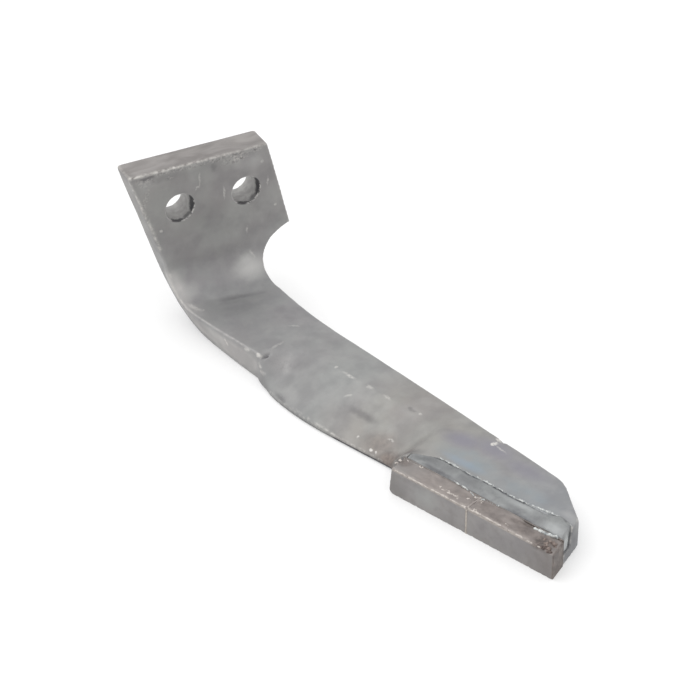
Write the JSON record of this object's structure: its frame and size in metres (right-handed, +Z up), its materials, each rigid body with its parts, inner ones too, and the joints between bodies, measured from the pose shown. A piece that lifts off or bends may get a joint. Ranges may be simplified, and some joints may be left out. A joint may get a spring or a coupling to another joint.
{
  "type": "harrow tine",
  "caption": "Bolt-on forged harrow tine, bent square, with carbide tiles brazed along the front of its blade, to break up soil",
  "frame": {"origin": "midway between the two bolt holes, on the head's outer face, which lies against the holder", "axes": "+X from hole to hole towards the side that the blade leans to, +Y into the holder along the bolts, +Z up when the blade lies flat"},
  "size_m": [0.1265, 0.3131, 0.0985],
  "materials": {
    "forged_steel": "forging scale, grey, matt",
    "carbide": "sintered, matt, tinted brown on top by flux",
    "brass_braze": "as brazed, dull",
    "weld_metal": "as welded, smooth, blue-grey"
  },
  "bodies": {
    "root": {"forged_tine": "forged_steel", "carbide_tile_inner": "carbide", "carbide_tile_outer": "carbide", "braze": "brass_braze", "weld_bead": "weld_metal"}
  },
  "joints": []
}
